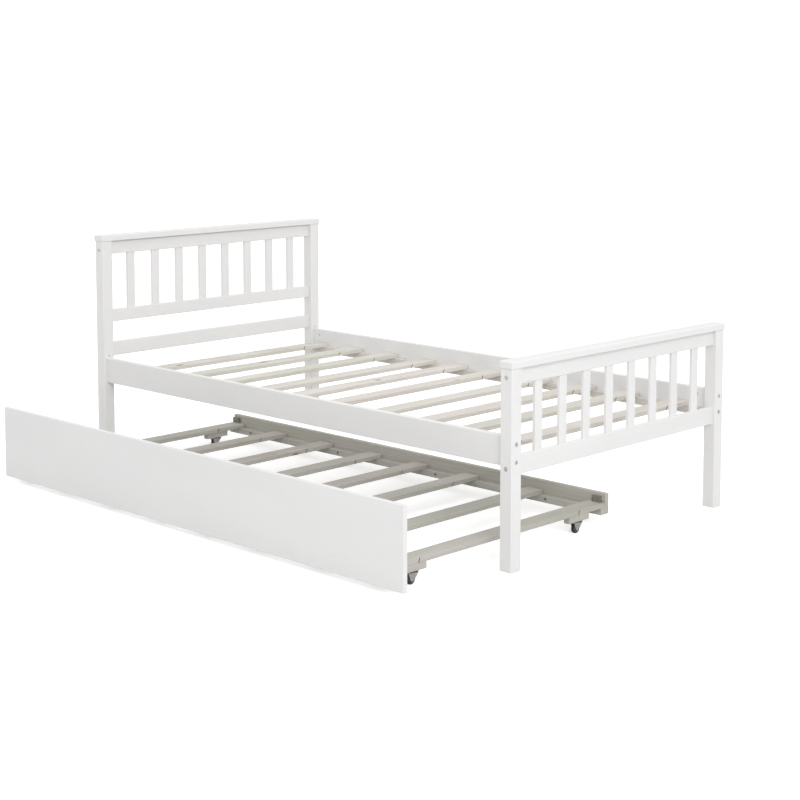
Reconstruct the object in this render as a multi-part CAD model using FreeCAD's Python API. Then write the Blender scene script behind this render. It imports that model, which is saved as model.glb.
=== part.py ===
"""Twin trundle bed: a painted slatted bed frame with a low rolling trundle pulled part-way out in front.

Millimetres. +X runs from the head end to the foot end, +Y from the trundle side to the rear, +Z up.
The origin is on the floor under the middle of the whole object as it stands here.
"""
import os

import FreeCAD
import Part

V = FreeCAD.Vector
os.makedirs("parts", exist_ok=True)

# ---- bed frame ----
POST = 44.0
BED_LENGTH = 2026.0
BED_WIDTH = 1088.0
CAP_OVERHANG = 3.0
CAP_THICK = 22.0
HEAD_RAIL_TOP = 836.0
FOOT_RAIL_TOP = 600.0
BOARD_THICK = 18.0
SPINDLE_WIDTH = 34.0
SPINDLE_THICK = 11.0
SPINDLE_COUNT = 8
TENON = 9.0
HEAD_TOP_RAIL = (787.0, 834.0)
HEAD_MIDDLE_RAIL = (533.0, 579.0)
HEAD_LOWER_RAIL = (405.0, 457.0)
FOOT_TOP_RAIL = (551.0, 598.0)
FOOT_LOWER_RAIL = (284.0, 341.0)
SIDE_RAIL = (310.0, 401.0)
SIDE_RAIL_THICK = 20.0
CLEAT_WIDTH = 22.0
CLEAT_HEIGHT = 25.0
BED_SLAT_TOP = 350.0
BED_SLAT_THICK = 14.0
BED_SLAT_WIDTH = 65.0
BED_SLAT_COUNT = 10
BED_SLAT_PITCH = 198.0
BED_SLAT_START = 28.0
# The slats are laid loose, so each sits a little off its even place along the bed.
BED_SLAT_NUDGES = (0, 8, 6, 12, -20, -25, -4, 0, -13, 0)

# ---- trundle ----
TRUNDLE_OUT = 401.0
PANEL_OFFSET = -24.0
PANEL_LENGTH = 1984.0
PANEL_BOTTOM = 20.0
PANEL_HEIGHT = 249.0
PANEL_THICK = 16.0
TRUNDLE_DEPTH = 1037.0
HEAD_POST_GAP = 6.0
BACK_RAIL_LENGTH = 1846.0
BACK_RAIL_BOTTOM = 36.0
BACK_RAIL_HEIGHT = 67.0
BACK_RAIL_THICK = 16.0
T_CLEAT_WIDTH = 24.0
T_CLEAT_HEIGHT = 22.0
T_SLAT_THICK = 15.0
T_SLAT_WIDTH = 64.0
T_SLAT_COUNT = 8
T_SLAT_NUDGES = (0, -5, 0, 4, -19, -31, -3, 0)
STOP_LENGTH = 34.0
STOP_HEIGHT = 20.0
STOP_THICK = 11.0

# ---- casters ----
BLOCK_WIDTH = 22.0
BLOCK_LENGTH = 100.0
WHEEL_FROM_BLOCK_END = 56.0
BLOCK_HEIGHT = 20.0
FRONT_BLOCK_GAP = 42.0
REAR_BLOCK_GAP = 61.0
HEAD_BLOCK_INSET = 36.0
WHEEL_RADIUS = 15.5
WHEEL_WIDTH = 11.0
AXLE_RADIUS = 2.0
TRAIL = 6.0
STEM_RADIUS = 4.0
STEM_LENGTH = 15.0
RUNNING = 0.05

# ---- fastenings ----
BOLT_RADIUS = 3.0
BOLT_HEAD_RADIUS = 6.5
BOLT_HEAD_THICK = 3.5
BOLT_REACH = 46.0
NUT_RADIUS = 5.0
NUT_LENGTH = 14.0
SPARE_HOLE_RADIUS = 3.2
SPARE_HOLE_DEPTH = 12.0
SPARE_HOLE_Z = 408.5
SCREW_RADIUS = 1.8
SCREW_HEAD_RADIUS = 4.0
SCREW_HEAD_THICK = 1.2

# ---- derived placings ----
X_HEAD = -BED_LENGTH / 2
X_FOOT = BED_LENGTH / 2
Y_PANEL = -(TRUNDLE_OUT + BED_WIDTH + CAP_OVERHANG) / 2
Y_FRONT = Y_PANEL + TRUNDLE_OUT
Y_REAR = Y_FRONT + BED_WIDTH
X_HEAD_RAIL = X_HEAD + POST
X_FOOT_RAIL = X_FOOT - POST
Y_NEAR_MID = Y_FRONT + POST / 2
Y_FAR_MID = Y_REAR - POST / 2
X_HEAD_MID = X_HEAD + POST / 2
X_FOOT_MID = X_FOOT - POST / 2
RAIL_GAP_Y = BED_WIDTH - 2 * POST

Y_PANEL_BACK = Y_PANEL + PANEL_THICK
Y_BACK_OUT = Y_PANEL + TRUNDLE_DEPTH
Y_BACK_IN = Y_BACK_OUT - BACK_RAIL_THICK
X_TRUNDLE_HEAD = X_HEAD_RAIL + HEAD_POST_GAP
X_TRUNDLE_FOOT = X_TRUNDLE_HEAD + BACK_RAIL_LENGTH
Z_T_SLAT = BACK_RAIL_BOTTOM + T_CLEAT_HEIGHT
Z_BLOCK = Z_T_SLAT - BLOCK_HEIGHT

AXES = {"X": V(1, 0, 0), "Y": V(0, 1, 0), "Z": V(0, 0, 1)}


def box(x0, x1, y0, y1, z0, z1):
    return Part.makeBox(x1 - x0, y1 - y0, z1 - z0, V(x0, y0, z0))


def rounded(shape, radius, along):
    """The box with its edges along one axis rounded."""
    axis = AXES[along]
    edges = []
    for edge in shape.Edges:
        direction = edge.Vertexes[1].Point.sub(edge.Vertexes[0].Point)
        if abs(direction.dot(axis)) > 0.999 * direction.Length:
            edges.append(edge)
    return shape.makeFillet(radius, edges)


def softened(shape, radius):
    """The box with all of its edges rounded."""
    return shape.makeFillet(radius, shape.Edges)


def rod(radius, start, direction, length):
    return Part.makeCylinder(radius, length, start, direction)


def hexagon(flats, start, direction, depth):
    """A hexagonal prism that starts at a point and runs along a direction."""
    corner = flats / 3 ** 0.5
    ring = Part.makePolygon([V(corner, 0, 0)] + [
        FreeCAD.Rotation(V(0, 0, 1), 60 * i).multVec(V(corner, 0, 0)) for i in range(1, 6)
    ] + [V(corner, 0, 0)])
    prism = Part.Face(ring).extrude(V(0, 0, depth))
    prism.Placement = FreeCAD.Placement(start, FreeCAD.Rotation(V(0, 0, 1), direction))
    return prism


def save(name, shape):
    shape.exportStep("parts/" + name + ".step")


# ---- bolts that tie the rails to the posts ----
# Each entry is the point where the bolt enters the post and the way it runs into the rail.
side_bolts = []
for x, way in ((X_HEAD, V(1, 0, 0)), (X_FOOT, V(-1, 0, 0))):
    for y in (Y_NEAR_MID, Y_FAR_MID):
        for z in (325.0, 378.0):
            side_bolts.append((V(x, y, z), way))
board_bolts = []
for y, way in ((Y_FRONT, V(0, 1, 0)), (Y_REAR, V(0, -1, 0))):
    board_bolts.append((V(X_HEAD_MID, y, 803.0), way))
    for z in (574.0, 306.0):
        board_bolts.append((V(X_FOOT_MID, y, z), way))

bolt_solids = []
bolt_holes = []
nut_solids = []
nut_holes = []
for group, nut_way in ((side_bolts, V(0, 1, 0)), (board_bolts, V(-1, 0, 0))):
    for entry, way in group:
        head = rod(BOLT_HEAD_RADIUS, entry - way * 0.5, way, BOLT_HEAD_THICK)
        shank = rod(BOLT_RADIUS, entry, way, POST + BOLT_REACH)
        socket = hexagon(5.0, entry - way * 0.5, way, 2.6)
        bolt_solids.append(head.fuse(shank).cut(socket).removeSplitter())
        bore = rod(BOLT_RADIUS + 0.5, entry - way, way, POST + BOLT_REACH + 3)
        bolt_holes.append(bore.fuse(rod(BOLT_HEAD_RADIUS + 0.4, entry - way, way, BOLT_HEAD_THICK + 0.5)))
        middle = entry + way * (POST + BOLT_REACH - 10)
        start = middle - nut_way * (NUT_LENGTH / 2)
        nut = rod(NUT_RADIUS, start, nut_way, NUT_LENGTH)
        nut_solids.append(nut.cut(rod(BOLT_RADIUS, middle - way * 8, way, 16)))
        nut_holes.append(rod(NUT_RADIUS + 0.2, start, nut_way, 40))
# A spare locating hole in each post, just above its side rail.
for x, way in ((X_HEAD_RAIL, V(-1, 0, 0)), (X_FOOT_RAIL, V(1, 0, 0))):
    for y in (Y_NEAR_MID, Y_FAR_MID):
        bolt_holes.append(rod(SPARE_HOLE_RADIUS, V(x, y, SPARE_HOLE_Z) - way, way, SPARE_HOLE_DEPTH + 1))
drillings = Part.makeCompound(bolt_holes)
nut_drillings = Part.makeCompound(nut_holes)

# ---- posts ----
for end, x, mid_x in (("head", X_HEAD, X_HEAD_MID), ("foot", X_FOOT_RAIL, X_FOOT_MID)):
    top = HEAD_RAIL_TOP if end == "head" else FOOT_RAIL_TOP
    for side, y in (("front", Y_FRONT), ("rear", Y_REAR - POST)):
        post = rounded(box(x, x + POST, y, y + POST, 0, top), 2.5, "Z")
        save("post_%s_%s" % (end, side), post.cut(drillings))

# ---- headboard and footboard ----
y0 = Y_FRONT + POST
y1 = Y_REAR - POST
gap = (RAIL_GAP_Y - SPINDLE_COUNT * SPINDLE_WIDTH) / (SPINDLE_COUNT + 1)


def spindles(mid_x, bottom, top):
    """The upright bars of one board, each with a tenon in the rail above and below."""
    bars = []
    for i in range(SPINDLE_COUNT):
        y = y0 + gap + i * (gap + SPINDLE_WIDTH)
        bar = box(mid_x - SPINDLE_THICK / 2, mid_x + SPINDLE_THICK / 2, y, y + SPINDLE_WIDTH,
                  bottom - TENON, top + TENON)
        bars.append(rounded(bar, 2.0, "Z"))
    return bars


def board_rail(mid_x, span):
    rail = box(mid_x - BOARD_THICK / 2, mid_x + BOARD_THICK / 2, y0, y1, span[0], span[1])
    return rounded(rail, 2.5, "Y").cut(drillings).cut(nut_drillings)


boards = (
    ("headboard", X_HEAD_MID, (("top_rail", HEAD_TOP_RAIL), ("middle_rail", HEAD_MIDDLE_RAIL),
                               ("lower_rail", HEAD_LOWER_RAIL)), HEAD_MIDDLE_RAIL[1], HEAD_TOP_RAIL[0]),
    ("footboard", X_FOOT_MID, (("top_rail", FOOT_TOP_RAIL), ("lower_rail", FOOT_LOWER_RAIL)),
     FOOT_LOWER_RAIL[1], FOOT_TOP_RAIL[0]),
)
for board, mid_x, rails, bottom, top in boards:
    bars = spindles(mid_x, bottom, top)
    mortises = Part.makeCompound(bars)
    for name, span in rails:
        save("%s_%s" % (board, name), board_rail(mid_x, span).cut(mortises))
    save("%s_spindles" % board, Part.makeCompound(bars))
    cap_z = HEAD_RAIL_TOP if board == "headboard" else FOOT_RAIL_TOP
    half = POST / 2 + CAP_OVERHANG
    cap = box(mid_x - half, mid_x + half, Y_FRONT - CAP_OVERHANG, Y_REAR + CAP_OVERHANG,
              cap_z, cap_z + CAP_THICK)
    save("%s_cap" % board, softened(cap, 3.0))

# ---- side rails, their cleats and the bed slats ----
screw_solids = []
screw_holes = []


def screw(point, way, length):
    """A flat-headed screw driven from a face point along a direction."""
    head = rod(SCREW_HEAD_RADIUS, point - way * SCREW_HEAD_THICK, way, SCREW_HEAD_THICK)
    screw_solids.append(head.fuse(rod(SCREW_RADIUS, point, way, length)))
    screw_holes.append(rod(SCREW_RADIUS + 0.1, point - way, way, length + 2))


Z_SLAT = BED_SLAT_TOP - BED_SLAT_THICK
side_specs = (
    ("front", Y_NEAR_MID, 1),
    ("rear", Y_FAR_MID, -1),
)
cleat_blanks = {}
rail_blanks = {}
for side, mid_y, inward in side_specs:
    rail = box(X_HEAD_RAIL, X_FOOT_RAIL, mid_y - SIDE_RAIL_THICK / 2, mid_y + SIDE_RAIL_THICK / 2,
               SIDE_RAIL[0], SIDE_RAIL[1])
    rail_blanks[side] = rounded(rail, 3.0, "X").cut(drillings)
    face = mid_y + inward * SIDE_RAIL_THICK / 2
    ys = sorted((face, face + inward * CLEAT_WIDTH))
    cleat = box(X_HEAD_RAIL + 20, X_FOOT_RAIL - 20, ys[0], ys[1], Z_SLAT - CLEAT_HEIGHT, Z_SLAT)
    cleat_blanks[side] = rounded(cleat, 1.5, "X")
    for i in range(5):
        x = X_HEAD_RAIL + 150 + i * (X_FOOT_RAIL - X_HEAD_RAIL - 300) / 4
        screw(V(x, face + inward * CLEAT_WIDTH, Z_SLAT - CLEAT_HEIGHT / 2), V(0, -inward, 0), 34)
side_screws = Part.makeCompound(screw_solids)
side_screw_holes = Part.makeCompound(screw_holes)
for side, mid_y, inward in side_specs:
    nut_side = [rod(NUT_RADIUS + 0.2, V(e.x + w.x * (POST + BOLT_REACH - 10), mid_y - inward * NUT_LENGTH / 2, e.z),
                    V(0, inward, 0), 30)
                for e, w in side_bolts if abs(e.y - mid_y) < 1]
    nut_bores = Part.makeCompound(nut_side)
    save("side_rail_%s" % side, rail_blanks[side].cut(nut_bores).cut(side_screw_holes))
    save("bed_cleat_%s" % side, cleat_blanks[side].cut(nut_bores).cut(side_screw_holes))
save("bed_cleat_screws", side_screws)
save("frame_bolts", Part.makeCompound(bolt_solids))
save("barrel_nuts", Part.makeCompound(nut_solids))

slat_y0 = Y_NEAR_MID + SIDE_RAIL_THICK / 2 + 1.5
slat_y1 = Y_FAR_MID - SIDE_RAIL_THICK / 2 - 1.5
for i in range(BED_SLAT_COUNT):
    x = X_HEAD_RAIL + BED_SLAT_START + i * BED_SLAT_PITCH + BED_SLAT_NUDGES[i]
    slat = box(x, x + BED_SLAT_WIDTH, slat_y0, slat_y1, Z_SLAT, BED_SLAT_TOP)
    save("bed_slat_%02d" % (i + 1), rounded(slat, 1.5, "Y"))

# ---- trundle frame ----
screw_solids = []
screw_holes = []
front_cleat = box(X_TRUNDLE_HEAD, X_TRUNDLE_FOOT, Y_PANEL_BACK, Y_PANEL_BACK + T_CLEAT_WIDTH,
                  BACK_RAIL_BOTTOM, Z_T_SLAT)
back_cleat = box(X_TRUNDLE_HEAD, X_TRUNDLE_FOOT, Y_BACK_IN - T_CLEAT_WIDTH, Y_BACK_IN,
                 BACK_RAIL_BOTTOM, Z_T_SLAT)
for i in range(4):
    x = X_TRUNDLE_HEAD + 126 + i * 497
    z = BACK_RAIL_BOTTOM + T_CLEAT_HEIGHT * 0.6
    screw(V(x, Y_BACK_IN - T_CLEAT_WIDTH, z), V(0, 1, 0), 34)
    screw(V(x, Y_PANEL_BACK + T_CLEAT_WIDTH, z), V(0, -1, 0), 34)

blocks = []
sockets = []
casters = []
for side, block_y in (("front", Y_PANEL_BACK + T_CLEAT_WIDTH + FRONT_BLOCK_GAP),
                      ("rear", Y_BACK_IN - T_CLEAT_WIDTH - REAR_BLOCK_GAP - BLOCK_LENGTH)):
    for end, block_x in (("head", X_TRUNDLE_HEAD + HEAD_BLOCK_INSET),
                         ("foot", X_TRUNDLE_FOOT - BLOCK_WIDTH)):
        pin = V(block_x + BLOCK_WIDTH / 2, block_y + BLOCK_LENGTH - WHEEL_FROM_BLOCK_END + TRAIL, Z_BLOCK)
        block = box(block_x, block_x + BLOCK_WIDTH, block_y, block_y + BLOCK_LENGTH, Z_BLOCK, Z_T_SLAT)
        block = rounded(block, 1.5, "Y").cut(rod(5.55, pin - V(0, 0, 1), V(0, 0, 1), STEM_LENGTH + 3))
        for y in (block_y + 14, block_y + BLOCK_LENGTH - 10):
            screw(V(pin.x, y, Z_BLOCK), V(0, 0, 1), 30)
        blocks.append(("%s_%s" % (side, end), block))
        sleeve = rod(5.5, pin, V(0, 0, 1), STEM_LENGTH + 2).fuse(rod(9.0, pin - V(0, 0, 1.5), V(0, 0, 1), 1.5))
        bore = rod(STEM_RADIUS + RUNNING, pin - V(0, 0, 2), V(0, 0, 1), STEM_LENGTH + 2.5)
        sockets.append(sleeve.cut(bore).removeSplitter())
        casters.append(("%s_%s" % (side, end), pin))

trundle_holes = Part.makeCompound(screw_holes)
panel = box(PANEL_OFFSET - PANEL_LENGTH / 2, PANEL_OFFSET + PANEL_LENGTH / 2, Y_PANEL, Y_PANEL_BACK,
            PANEL_BOTTOM, PANEL_BOTTOM + PANEL_HEIGHT)
save("trundle_front_panel", softened(panel, 2.0).cut(trundle_holes))
back_rail = box(X_TRUNDLE_HEAD, X_TRUNDLE_FOOT, Y_BACK_IN, Y_BACK_OUT, BACK_RAIL_BOTTOM,
                BACK_RAIL_BOTTOM + BACK_RAIL_HEIGHT)
save("trundle_back_rail", rounded(back_rail, 2.0, "X").cut(trundle_holes))
save("trundle_cleat_front", rounded(front_cleat, 1.5, "X").cut(trundle_holes))
save("trundle_cleat_back", rounded(back_cleat, 1.5, "X").cut(trundle_holes))
pitch = (BACK_RAIL_LENGTH - T_SLAT_WIDTH) / (T_SLAT_COUNT - 1)
for i in range(T_SLAT_COUNT):
    x = X_TRUNDLE_HEAD + i * pitch + T_SLAT_NUDGES[i]
    slat = box(x, x + T_SLAT_WIDTH, Y_PANEL_BACK + 1, Y_BACK_IN - 1, Z_T_SLAT, Z_T_SLAT + T_SLAT_THICK)
    save("trundle_slat_%d" % (i + 1), rounded(slat, 1.5, "Y").cut(trundle_holes))
for name, block in blocks:
    save("caster_block_" + name, block.cut(trundle_holes))
stops = []
for x in (X_TRUNDLE_HEAD + 3, X_TRUNDLE_FOOT - 14 - STOP_LENGTH):
    z = Z_T_SLAT + T_SLAT_THICK
    stop = box(x, x + STOP_LENGTH, Y_BACK_IN - STOP_THICK, Y_BACK_IN, z, z + STOP_HEIGHT)
    stops.append(softened(stop, 1.5))
save("mattress_stops", Part.makeCompound(stops))
save("trundle_screws", Part.makeCompound(screw_solids))
save("caster_sockets", Part.makeCompound(sockets))

# ---- casters: a stemmed fork that swivels in its socket, and a wheel on a fixed axle ----
CROWN_TOP = Z_BLOCK - 1.8
CROWN_THICK = 3.0
CROWN_RADIUS = 19.0
LEG_TOP_HALF = 20.0
LEG_THICK = 2.5
LEG_IN = WHEEL_WIDTH / 2 + 0.8


def fork(pin):
    """The swivelling part of one caster: stem, crown, two legs and the axle."""
    crown_low = CROWN_TOP - CROWN_THICK
    stem = rod(STEM_RADIUS, V(pin.x, pin.y, crown_low), V(0, 0, 1), Z_BLOCK + STEM_LENGTH - crown_low)
    crown = rod(CROWN_RADIUS, V(pin.x, pin.y, crown_low), V(0, 0, 1), CROWN_THICK)
    body = stem.fuse(crown)
    axle_y = pin.y - TRAIL
    for way in (-1, 1):
        x = pin.x + way * LEG_IN if way > 0 else pin.x + way * (LEG_IN + LEG_THICK)
        outline = Part.makePolygon([
            V(x, pin.y - LEG_TOP_HALF, CROWN_TOP),
            V(x, pin.y + LEG_TOP_HALF, CROWN_TOP),
            V(x, pin.y + LEG_TOP_HALF - 1, CROWN_TOP - 4),
            V(x, axle_y + 6.5, WHEEL_RADIUS - 4),
            V(x, axle_y - 6.5, WHEEL_RADIUS - 4),
            V(x, pin.y - LEG_TOP_HALF + 1, CROWN_TOP - 4),
            V(x, pin.y - LEG_TOP_HALF, CROWN_TOP),
        ])
        leg = Part.Face(outline).extrude(V(LEG_THICK, 0, 0))
        boss = rod(6.5, V(x, axle_y, WHEEL_RADIUS), V(1, 0, 0), LEG_THICK)
        body = body.fuse(leg).fuse(boss)
    half = LEG_IN + LEG_THICK + 0.8
    axle = rod(AXLE_RADIUS, V(pin.x - half, axle_y, WHEEL_RADIUS), V(1, 0, 0), 2 * half)
    return body.fuse(axle).removeSplitter()


def wheel(pin):
    """A small tyred wheel with a dished hub, bored to run on the axle."""
    start = V(pin.x - WHEEL_WIDTH / 2, pin.y - TRAIL, WHEEL_RADIUS)
    way = V(1, 0, 0)
    disc = rod(WHEEL_RADIUS, start, way, WHEEL_WIDTH)
    disc = disc.makeFillet(2.2, [e for e in disc.Edges if e.Length > 6 * WHEEL_RADIUS - 1])
    for side in (0, 1):
        at = start + way * (side * (WHEEL_WIDTH - 1.6))
        dish = rod(10.5, at, way, 1.6).cut(rod(4.6, at, way, 1.6))
        disc = disc.cut(dish)
    return disc.cut(rod(AXLE_RADIUS + RUNNING, start - way, way, WHEEL_WIDTH + 2))


for name, pin in casters:
    save("caster_fork_" + name, fork(pin))
    save("caster_wheel_" + name, wheel(pin))
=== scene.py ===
"""Looks for the twin trundle bed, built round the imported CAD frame. Metres, floor at z = 0."""
import math
import random

import bmesh
import bpy
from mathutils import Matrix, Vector


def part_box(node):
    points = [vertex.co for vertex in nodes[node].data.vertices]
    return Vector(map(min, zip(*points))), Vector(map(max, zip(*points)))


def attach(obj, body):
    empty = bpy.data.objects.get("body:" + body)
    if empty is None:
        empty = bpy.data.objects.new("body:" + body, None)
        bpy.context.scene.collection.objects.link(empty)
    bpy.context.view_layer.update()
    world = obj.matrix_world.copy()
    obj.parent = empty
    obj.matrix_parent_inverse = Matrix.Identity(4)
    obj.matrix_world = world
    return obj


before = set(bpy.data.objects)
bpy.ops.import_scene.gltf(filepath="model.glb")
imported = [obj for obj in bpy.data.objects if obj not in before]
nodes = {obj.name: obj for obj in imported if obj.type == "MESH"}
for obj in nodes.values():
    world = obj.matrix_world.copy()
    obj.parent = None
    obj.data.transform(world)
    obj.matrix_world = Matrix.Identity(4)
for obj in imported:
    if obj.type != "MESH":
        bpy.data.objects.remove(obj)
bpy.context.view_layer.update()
draw = random.Random(11)

# ---- a short way to write node materials ----


class Shader:
    """A material being built: every call adds one node and returns its output socket."""

    def __init__(self, name):
        self.material = bpy.data.materials.new(name)
        self.material.use_nodes = True
        self.tree = self.material.node_tree
        self.tree.nodes.clear()
        self.object_coords = self.node("TexCoord").outputs["Object"]

    def node(self, kind, inputs=None, **settings):
        made = self.tree.nodes.new("ShaderNode" + kind)
        for key, value in settings.items():
            setattr(made, key, value)
        for key, value in (inputs or {}).items():
            self.feed(made.inputs[key], value)
        return made

    def feed(self, socket, value):
        if isinstance(value, bpy.types.NodeSocket):
            self.tree.links.new(value, socket)
        else:
            socket.default_value = value

    def math(self, operation, a, b=0.0):
        return self.node("Math", {0: a, 1: b}, operation=operation).outputs[0]

    def vector(self, operation, a, b):
        return self.node("VectorMath", {0: a, 1: b}, operation=operation).outputs[0]

    def scaled(self, coords, scale):
        return self.vector("MULTIPLY", coords, scale)

    def noise(self, coords, scale=1.0, detail=2.0, rough=0.5, warp=0.0):
        return self.node("TexNoise", {"Vector": coords, "Scale": scale, "Detail": detail,
                                      "Roughness": rough, "Distortion": warp}).outputs["Fac"]

    def span(self, value, low, high, to_low=0.0, to_high=1.0, smooth=True):
        kind = "SMOOTHSTEP" if smooth else "LINEAR"
        return self.node("MapRange", {"Value": value, "From Min": low, "From Max": high, "To Min": to_low,
                                      "To Max": to_high}, interpolation_type=kind).outputs["Result"]

    def mix(self, factor, a, b, blend="MIX"):
        made = self.node("Mix", data_type="RGBA", blend_type=blend)
        self.feed(made.inputs["Factor"], factor)
        self.feed(made.inputs[6], a if isinstance(a, bpy.types.NodeSocket) else (*a, 1.0))
        self.feed(made.inputs[7], b if isinstance(b, bpy.types.NodeSocket) else (*b, 1.0))
        return made.outputs[2]

    def bump(self, height, distance, strength):
        made = self.node("Bump", {"Height": height, "Distance": distance, "Strength": strength})
        return made.outputs["Normal"]

    def finish(self, colour, roughness, normal, **settings):
        inputs = {"Base Color": colour, "Roughness": roughness}
        inputs.update({key.replace("_", " "): value for key, value in settings.items()})
        shader = self.node("BsdfPrincipled", inputs)
        self.feed(shader.inputs["Normal"], normal)
        out = self.node("OutputMaterial")
        self.tree.links.new(shader.outputs[0], out.inputs["Surface"])
        return self.material


def along(axis, fine, coarse):
    """Scales for a pattern that is stretched along one axis."""
    return tuple(coarse if letter == axis else fine for letter in "xyz")


SEED_REACH = 9.0  # how far, in metres, a piece's own colour moves its pattern


def seeded(shader):
    """Object coordinates moved by the piece's own colour, so that no two boards share a figure; and the colour."""
    own = shader.node("ObjectInfo").outputs["Color"]
    moved = shader.vector("ADD", shader.object_coords, shader.scaled(own, (SEED_REACH,) * 3))
    return moved, own


def wood_figure(shader, coords, axis):
    """Growth rings, fibres and knots of a sawn softwood board. Returns (rings, fibres, knots)."""
    cells = shader.node("TexVoronoi", {"Vector": shader.scaled(coords, along(axis, 15.0, 6.5)), "Scale": 1.0},
                        feature="F1")
    chosen = shader.node("SeparateColor", {"Color": cells.outputs["Color"]}).outputs["Red"]
    chosen = shader.math("GREATER_THAN", chosen, 0.80)
    near = cells.outputs["Distance"]
    knots = shader.math("MULTIPLY", shader.span(near, 0.16, 0.05), chosen)
    halo = shader.math("MULTIPLY", shader.span(near, 0.60, 0.08), chosen)
    lean = {"x": (0.0, 0.03, 0.02), "y": (0.03, 0.0, 0.035), "z": (0.03, 0.02, 0.0)}[axis]
    tilted = shader.node("Mapping", {"Vector": coords, "Rotation": lean}).outputs[0]
    rings = shader.node(
        "TexWave", {"Vector": tilted, "Scale": 42.0, "Distortion": 5.5, "Detail": 2.0, "Detail Scale": 0.10,
                    "Detail Roughness": 0.55, "Phase Offset": shader.math("MULTIPLY", halo, 9.0)},
        wave_type="RINGS", rings_direction=axis.upper(), wave_profile="SAW").outputs["Fac"]
    fibres = shader.noise(shader.scaled(coords, along(axis, 620.0, 9.0)), 1.0, 3.0, 0.6)
    return rings, fibres, knots


def toned(colour, shade, grey):
    """A colour made lighter or darker, and moved part of the way to grey."""
    mean = sum(colour) / 3
    return tuple(shade * (v + (mean - v) * grey) for v in colour)


def pine(name, axis, shade, grey, ring_depth):
    """Bare pale slat wood: sandy to pinkish and greenish tints, thin late-wood lines, small knots."""
    s = Shader(name)
    coords, own = seeded(s)
    rings, fibres, knots = wood_figure(s, coords, axis)
    tint = s.node("SeparateColor", {"Color": own}).outputs["Green"]
    drift = s.noise(s.scaled(coords, along(axis, 14.0, 2.1)), 1.0, 2.0)
    warm = toned((0.640, 0.565, 0.515), shade, grey)
    green = toned((0.600, 0.595, 0.490), shade, grey)
    pale = toned((0.680, 0.645, 0.585), shade, grey)
    late = toned((0.480, 0.410, 0.325), shade, grey)
    base = s.mix(s.span(tint, 0.25, 0.75), warm, green)
    base = s.mix(s.span(drift, 0.35, 0.68), base, pale)
    base = s.mix(s.math("MULTIPLY", s.span(rings, 0.45, 1.0), ring_depth), base, late)
    base = s.mix(s.span(fibres, 0.30, 0.75, 0.14, 0.0), base, toned((0.36, 0.29, 0.21), shade, grey))
    bark = s.noise(s.scaled(coords, (260, 260, 260)), 1.0, 2.0)
    dark = s.mix(bark, (0.115, 0.062, 0.034), (0.285, 0.170, 0.090))
    base = s.mix(s.math("MULTIPLY", knots, 0.86), base, dark)
    rough = s.span(fibres, 0.2, 0.8, 0.80, 0.62, smooth=False)
    height = s.math("ADD", s.math("MULTIPLY", rings, 0.35), s.math("MULTIPLY", fibres, 0.9))
    normal = s.bump(height, 0.00022, 0.7)
    return s.finish(base, rough, normal, Specular_IOR_Level=0.32)


WHITE = (0.800, 0.796, 0.792)


def paint(name, axis):
    """Satin white lacquer on wood: grain and fine brush lines show through, and a knot now and then yellows it."""
    s = Shader(name)
    coords, _ = seeded(s)
    rings, fibres, knots = wood_figure(s, coords, axis)
    cloud = s.noise(s.scaled(coords, along(axis, 9.0, 2.5)), 1.0, 3.0)
    base = s.mix(s.span(cloud, 0.3, 0.7), tuple(0.975 * v for v in WHITE), WHITE)
    base = s.mix(s.math("MULTIPLY", knots, 0.25), base, (0.76, 0.73, 0.655))
    base = s.mix(s.span(rings, 0.6, 1.0, 0.0, 0.16), base, tuple(0.93 * v for v in WHITE))
    brush = s.noise(s.scaled(coords, along(axis, 900.0, 7.0)), 1.0, 2.0)
    peel = s.noise(s.scaled(coords, (420, 420, 420)), 1.0, 2.0)
    rough = s.span(cloud, 0.25, 0.75, 0.36, 0.47, smooth=False)
    height = s.math("ADD", s.math("MULTIPLY", rings, 0.45), s.math("MULTIPLY", fibres, 0.35))
    height = s.math("ADD", height, s.math("MULTIPLY", brush, 0.30))
    height = s.math("ADD", height, s.math("MULTIPLY", peel, 0.35))
    normal = s.bump(height, 0.00016, 0.55)
    return s.finish(base, rough, normal, Specular_IOR_Level=0.45)


def steel(name, colour, rough_low, rough_high):
    """Zinc-plated steel: blotchy spangle, fine scratches and a little dulling."""
    s = Shader(name)
    coords = s.object_coords
    spangle = s.node("TexVoronoi", {"Vector": s.scaled(coords, (900, 900, 900)), "Scale": 1.0}).outputs["Distance"]
    cloud = s.noise(s.scaled(coords, (160, 160, 160)), 1.0, 3.0)
    scratch = s.noise(s.scaled(coords, (2600, 300, 2600)), 1.0, 1.0)
    base = s.mix(s.span(cloud, 0.3, 0.7), tuple(0.80 * v for v in colour), colour)
    base = s.mix(s.span(spangle, 0.1, 0.6, 0.0, 0.22), base, tuple(0.7 * v for v in colour))
    rough = s.span(cloud, 0.3, 0.7, rough_low, rough_high, smooth=False)
    normal = s.bump(scratch, 0.00003, 0.6)
    return s.finish(base, rough, normal, Metallic=1.0)


PLASTIC_GRAIN = (900.0,) * 3  # spark-eroded texture, in cycles per metre


def plastic(name, colour, rough):
    """Moulded plastic: fine spark-eroded texture, faint flow marks and dusting."""
    s = Shader(name)
    coords = s.object_coords
    fine = s.noise(s.scaled(coords, PLASTIC_GRAIN), 1.0, 3.0)
    flow = s.noise(s.scaled(coords, (60, 60, 60)), 1.0, 2.0, warp=1.5)
    base = s.mix(s.span(flow, 0.3, 0.75), colour, tuple(1.35 * v + 0.006 for v in colour))
    roughness = s.span(flow, 0.3, 0.7, rough - 0.08, rough + 0.10, smooth=False)
    normal = s.bump(fine, 0.00006, 0.6)
    return s.finish(base, roughness, normal, Specular_IOR_Level=0.5)


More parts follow.
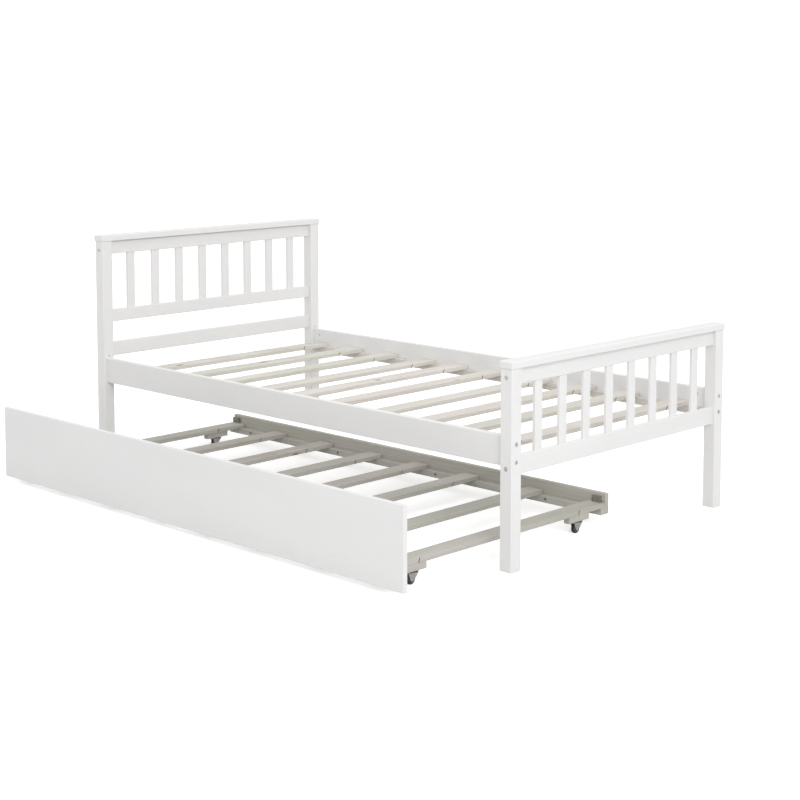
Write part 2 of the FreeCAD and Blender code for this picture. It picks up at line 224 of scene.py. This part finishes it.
PAINT = {axis: paint("satin_white_along_" + axis, axis) for axis in "xyz"}
PINE = {axis: pine("slat_pine_along_" + axis, axis, 1.13, 0.36, 0.34) for axis in "xy"}
# The trundle's pine is the slat pine made darker (shade 0.83 against 1.13): painted shade for the shadow that the
# bed casts over the trundle.
SHADED_TRUNDLE_PINE = {axis: pine("shaded_trundle_pine_along_" + axis, axis, 0.83, 0.34, 0.26) for axis in "xy"}
BOLT = steel("zinc_bolt", (0.80, 0.80, 0.79), 0.34, 0.50)
SCREW = steel("dark_screw", (0.22, 0.20, 0.17), 0.34, 0.52)
FORK = steel("pressed_fork", (0.55, 0.55, 0.55), 0.30, 0.48)
SOCKET = steel("caster_socket", (0.46, 0.46, 0.45), 0.34, 0.50)
WHEEL = plastic("black_wheel", (0.016, 0.016, 0.017), 0.42)
STOP = plastic("grey_stop", (0.175, 0.160, 0.142), 0.55)


def finish_of(name):
    """The material of one CAD node, with the grain running along the board."""
    if name.startswith("post_") or name.endswith("_spindles"):
        return PAINT["z"]
    if name.startswith(("headboard", "footboard")):
        return PAINT["y"]
    if name.startswith("side_rail") or name == "trundle_front_panel":
        return PAINT["x"]
    if name.startswith("bed_slat"):
        return PINE["y"]
    if name in ("bed_cleat_front", "bed_cleat_rear"):
        return PINE["x"]
    # The trundle's slats, blocks, rails and cleats get the darker pine, whose darkness is painted shade.
    if name.startswith("trundle_slat") or name.startswith("caster_block"):
        return SHADED_TRUNDLE_PINE["y"]
    if name in ("trundle_back_rail", "trundle_cleat_front", "trundle_cleat_back"):
        return SHADED_TRUNDLE_PINE["x"]
    if name in ("frame_bolts", "barrel_nuts"):
        return BOLT
    if name.endswith("screws"):
        return SCREW
    if name.startswith("caster_fork"):
        return FORK
    if name == "caster_sockets":
        return SOCKET
    if name.startswith("caster_wheel"):
        return WHEEL
    return STOP


for name in sorted(nodes):
    piece = nodes[name]
    piece.color = (draw.random(), draw.random(), draw.random(), 1.0)
    finish = finish_of(name)
    for slot in piece.material_slots:
        slot.link = "OBJECT"
        slot.material = finish

# ---- small parts that the CAD leaves out ----
MM = 0.001
# Dark steel colour for the folded strips on the slats below: painted shade.
SHADE_TICK = steel("painted_shade_tick", (0.24, 0.22, 0.19), 0.44, 0.60)
RING = plastic("grey_thread_guard", (0.300, 0.300, 0.295), 0.50)


SMOOTH_BELOW = math.radians(35.0)  # edges sharper than this stay sharp


def new_piece(name, made, finish, body):
    """Turns a bmesh into a piece that rides on a body."""
    bmesh.ops.recalc_face_normals(made, faces=made.faces)
    mesh = bpy.data.meshes.new(name)
    made.to_mesh(mesh)
    made.free()
    mesh.shade_smooth()
    mesh.set_sharp_from_angle(angle=SMOOTH_BELOW)
    mesh.materials.append(finish)
    piece = bpy.data.objects.new(name, mesh)
    bpy.context.collection.objects.link(piece)
    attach(piece, body)
    return piece


def turned(made, profile, centre, axis, sides):
    """A turned solid: (distance along the axis, radius) pairs swept round an axis. Zero radii close it."""
    axis = Vector(axis)
    across = axis.orthogonal().normalized()
    third = axis.cross(across)
    loops = []
    for reach, radius in profile:
        middle = Vector(centre) + axis * reach
        if radius == 0.0:
            loops.append([made.verts.new(middle)])
            continue
        loops.append([made.verts.new(middle + (across * math.cos(turn) + third * math.sin(turn)) * radius)
                      for turn in (2 * math.pi * i / sides for i in range(sides))])
    for low, high in zip(loops, loops[1:]):
        for i in range(sides):
            j = (i + 1) % sides
            ring = [low[i % len(low)], low[j % len(low)], high[j % len(high)], high[i % len(high)]]
            corners = []
            for vert in ring:
                if vert not in corners:
                    corners.append(vert)
            made.faces.new(corners)


def torus(made, centre, axis, radius, thick, sides=40, tube=10):
    """A plain ring round an axis."""
    axis = Vector(axis)
    across = axis.orthogonal().normalized()
    third = axis.cross(across)
    loops = []
    for i in range(sides):
        turn = 2 * math.pi * i / sides
        out = across * math.cos(turn) + third * math.sin(turn)
        loops.append([made.verts.new(Vector(centre) + out * (radius + thick * math.cos(lift))
                                     + axis * (thick * math.sin(lift)))
                      for lift in (2 * math.pi * k / tube for k in range(tube))])
    for i in range(sides):
        low, high = loops[i], loops[(i + 1) % sides]
        for k in range(tube):
            j = (k + 1) % tube
            made.faces.new([low[k], low[j], high[j], high[k]])


def strip(made, path, width_way, width, thick_ways):
    """A flat strip that follows a path: thick_ways gives, at each point, the way its thickness grows."""
    loops = []
    half = Vector(width_way) * (width / 2)
    for point, way in zip(path, thick_ways):
        point, way = Vector(point), Vector(way)
        loops.append([made.verts.new(corner) for corner in
                      (point - half, point + half, point + half + way, point - half + way)])
    for low, high in zip(loops, loops[1:]):
        for i in range(4):
            j = (i + 1) % 4
            made.faces.new([low[i], low[j], high[j], high[i]])
    made.faces.new(loops[0][::-1])
    made.faces.new(loops[-1])


# Dark steel strips folded over each slat's foot-side edge, 135 mm in from both ends: painted shade, dark marks
# that stand in for the small shade ticks under the slats there.
TICK_INSET = 135 * MM
TICK_WIDTH = 3.0 * MM
TICK_THICK = 0.7 * MM
TICK_LAP = 2.0 * MM


# Painted shade: one dark folded strip at each slat end, where a shade tick falls.
def slat_shade_ticks(name, slats, body):
    made = bmesh.new()
    for slat in slats:
        low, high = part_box(slat)
        edge, top, bottom = high.x, high.z, low.z
        for y in (low.y + TICK_INSET, high.y - TICK_INSET):
            slant = draw.uniform(5.0, 8.0) * MM
            up = (0, 0, TICK_THICK)
            out = (TICK_THICK, 0, 0)
            corner = (TICK_THICK, 0, TICK_THICK * 0.6)
            path = [(edge - TICK_LAP, y + slant / 2 + 2 * MM, top),
                    (edge - 0.5 * MM, y + slant / 2, top - 0.15 * MM),
                    (edge, y + slant / 2 - 1 * MM, top - 1.4 * MM),
                    (edge, y - slant / 2, bottom + 1.4 * MM)]
            strip(made, path, (0, 1, 0), TICK_WIDTH, [up, corner, out, out])
    new_piece(name, made, SHADE_TICK, body)


slat_shade_ticks("bed_slat_clips", ["bed_slat_%02d" % i for i in range(1, 11)], "bed_frame")
slat_shade_ticks("trundle_slat_clips", ["trundle_slat_%d" % i for i in range(1, 9)], "trundle")


GUARD_RADIUS = 10.6 * MM
GUARD_THICK = 0.45 * MM
GUARD_SINK = 0.25 * MM
CAP_SINK = 0.55 * MM
AXLE_PAST_WHEEL = 4.2 * MM
RIVET_SINK = 0.4 * MM
HUB_CAP = [(-0.5, 0.0), (-0.5, 4.4), (0.15, 4.4), (0.55, 3.9), (0.7, 3.0), (0.7, 2.3), (0.2, 1.9), (0.2, 0.0)]
RIVET = [(-1.0, 0.0), (-1.0, 3.3), (-0.4, 3.3), (0.25, 2.7), (0.6, 1.5), (0.7, 0.0)]


def in_metres(profile):
    return [(reach * MM, radius * MM) for reach, radius in profile]


def caster_trim(place):
    """Thread guards and hub caps on one wheel, and the riveted ends of its axle."""
    low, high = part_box("caster_wheel_" + place)
    middle = (low + high) / 2
    half = (high.x - low.x) / 2
    rings = bmesh.new()
    caps = bmesh.new()
    rivets = bmesh.new()
    for way in (-1, 1):
        face = middle.x + way * half
        end = face + way * AXLE_PAST_WHEEL
        torus(rings, (face - way * GUARD_SINK, middle.y, middle.z), (1, 0, 0), GUARD_RADIUS, GUARD_THICK)
        turned(caps, in_metres(HUB_CAP), (face - way * CAP_SINK, middle.y, middle.z), (way, 0, 0), 28)
        turned(rivets, in_metres(RIVET), (end - way * RIVET_SINK, middle.y, middle.z), (way, 0, 0), 24)
    new_piece("thread_guard_" + place, rings, RING, "wheel_" + place)
    new_piece("hub_cap_" + place, caps, RING, "wheel_" + place)
    new_piece("axle_rivet_" + place, rivets, FORK, "caster_" + place)


for place in ("front_head", "front_foot", "rear_head", "rear_foot"):
    caster_trim(place)

# ---- floor, light and camera ----
FLOOR_SIDE = 400.0
FLOOR_GLOW = 0.47  # added to the floor where the camera sees it, so that it reads as white
SKY_LIGHT = 0.90
SKY_SEEN = 1.05


def floor():
    """A pale seamless floor, brighter to the camera than to the pieces, so that faint shadows stay on it."""
    mesh = bpy.data.meshes.new("floor")
    made = bmesh.new()
    bmesh.ops.create_grid(made, x_segments=2, y_segments=2, size=FLOOR_SIDE / 2)
    made.to_mesh(mesh)
    made.free()
    s = Shader("studio_floor")
    grit = s.noise(s.object_coords, 60.0, 2.0)
    shade = s.mix(grit, (0.78, 0.78, 0.78), (0.80, 0.80, 0.80))
    diffuse = s.node("BsdfDiffuse", {"Color": shade, "Roughness": 0.8}).outputs[0]
    seen = s.node("LightPath").outputs["Is Camera Ray"]
    glow = s.node("Emission", {"Color": (1, 1, 1, 1), "Strength": s.math("MULTIPLY", seen, FLOOR_GLOW)}).outputs[0]
    both = s.node("AddShader", {0: diffuse, 1: glow}).outputs[0]
    out = s.node("OutputMaterial")
    s.feed(out.inputs["Surface"], both)
    mesh.materials.append(s.material)
    piece = bpy.data.objects.new("floor", mesh)
    bpy.context.collection.objects.link(piece)
    return piece


floor()


def softbox(name, place, target, side, power):
    lamp = bpy.data.lights.new(name, "AREA")
    lamp.shape = "RECTANGLE"
    lamp.size, lamp.size_y = side, side
    lamp.energy = power
    holder = bpy.data.objects.new(name, lamp)
    holder.location = place
    holder.rotation_euler = (Vector(target) - Vector(place)).to_track_quat("-Z", "Y").to_euler()
    bpy.context.collection.objects.link(holder)


softbox("key", (6.6, -3.6, 4.0), (0.0, 0.0, 0.3), 3.8, 205.0)
softbox("top", (0.0, 0.2, 4.4), (0.0, 0.2, 0.0), 4.0, 24.0)

world = bpy.data.worlds.new("studio")
world.use_nodes = True
sky = world.node_tree
backdrop = sky.nodes["Background"]
backdrop.inputs["Color"].default_value = (1.0, 1.0, 1.0, 1.0)
backdrop.inputs["Strength"].default_value = SKY_LIGHT
seen_sky = sky.nodes.new("ShaderNodeBackground")
seen_sky.inputs["Color"].default_value = (1.0, 1.0, 1.0, 1.0)
seen_sky.inputs["Strength"].default_value = SKY_SEEN
choice = sky.nodes.new("ShaderNodeMixShader")
path = sky.nodes.new("ShaderNodeLightPath")
sky.links.new(path.outputs["Is Camera Ray"], choice.inputs[0])
sky.links.new(backdrop.outputs[0], choice.inputs[1])
sky.links.new(seen_sky.outputs[0], choice.inputs[2])
sky.links.new(choice.outputs[0], sky.nodes["World Output"].inputs["Surface"])
bpy.context.scene.world = world
bpy.context.scene.view_settings.view_transform = "Standard"

# The camera stands off the foot end and front, a little above the bed, and looks slightly down.
CAMERA_PLACE = (4.0664, -3.9396, 1.4224)
CAMERA_PITCH = math.radians(90 - 5.437)
CAMERA_YAW = math.radians(44.258)
camera = bpy.data.objects.new("camera", bpy.data.cameras.new("camera"))
camera.data.sensor_width = 36.0
camera.data.lens = 74.665
camera.data.shift_y = -0.20
camera.location = CAMERA_PLACE
camera.rotation_euler = (CAMERA_PITCH, 0.0, CAMERA_YAW)
camera.data.clip_end = 1000.0
bpy.context.collection.objects.link(camera)
bpy.context.scene.camera = camera
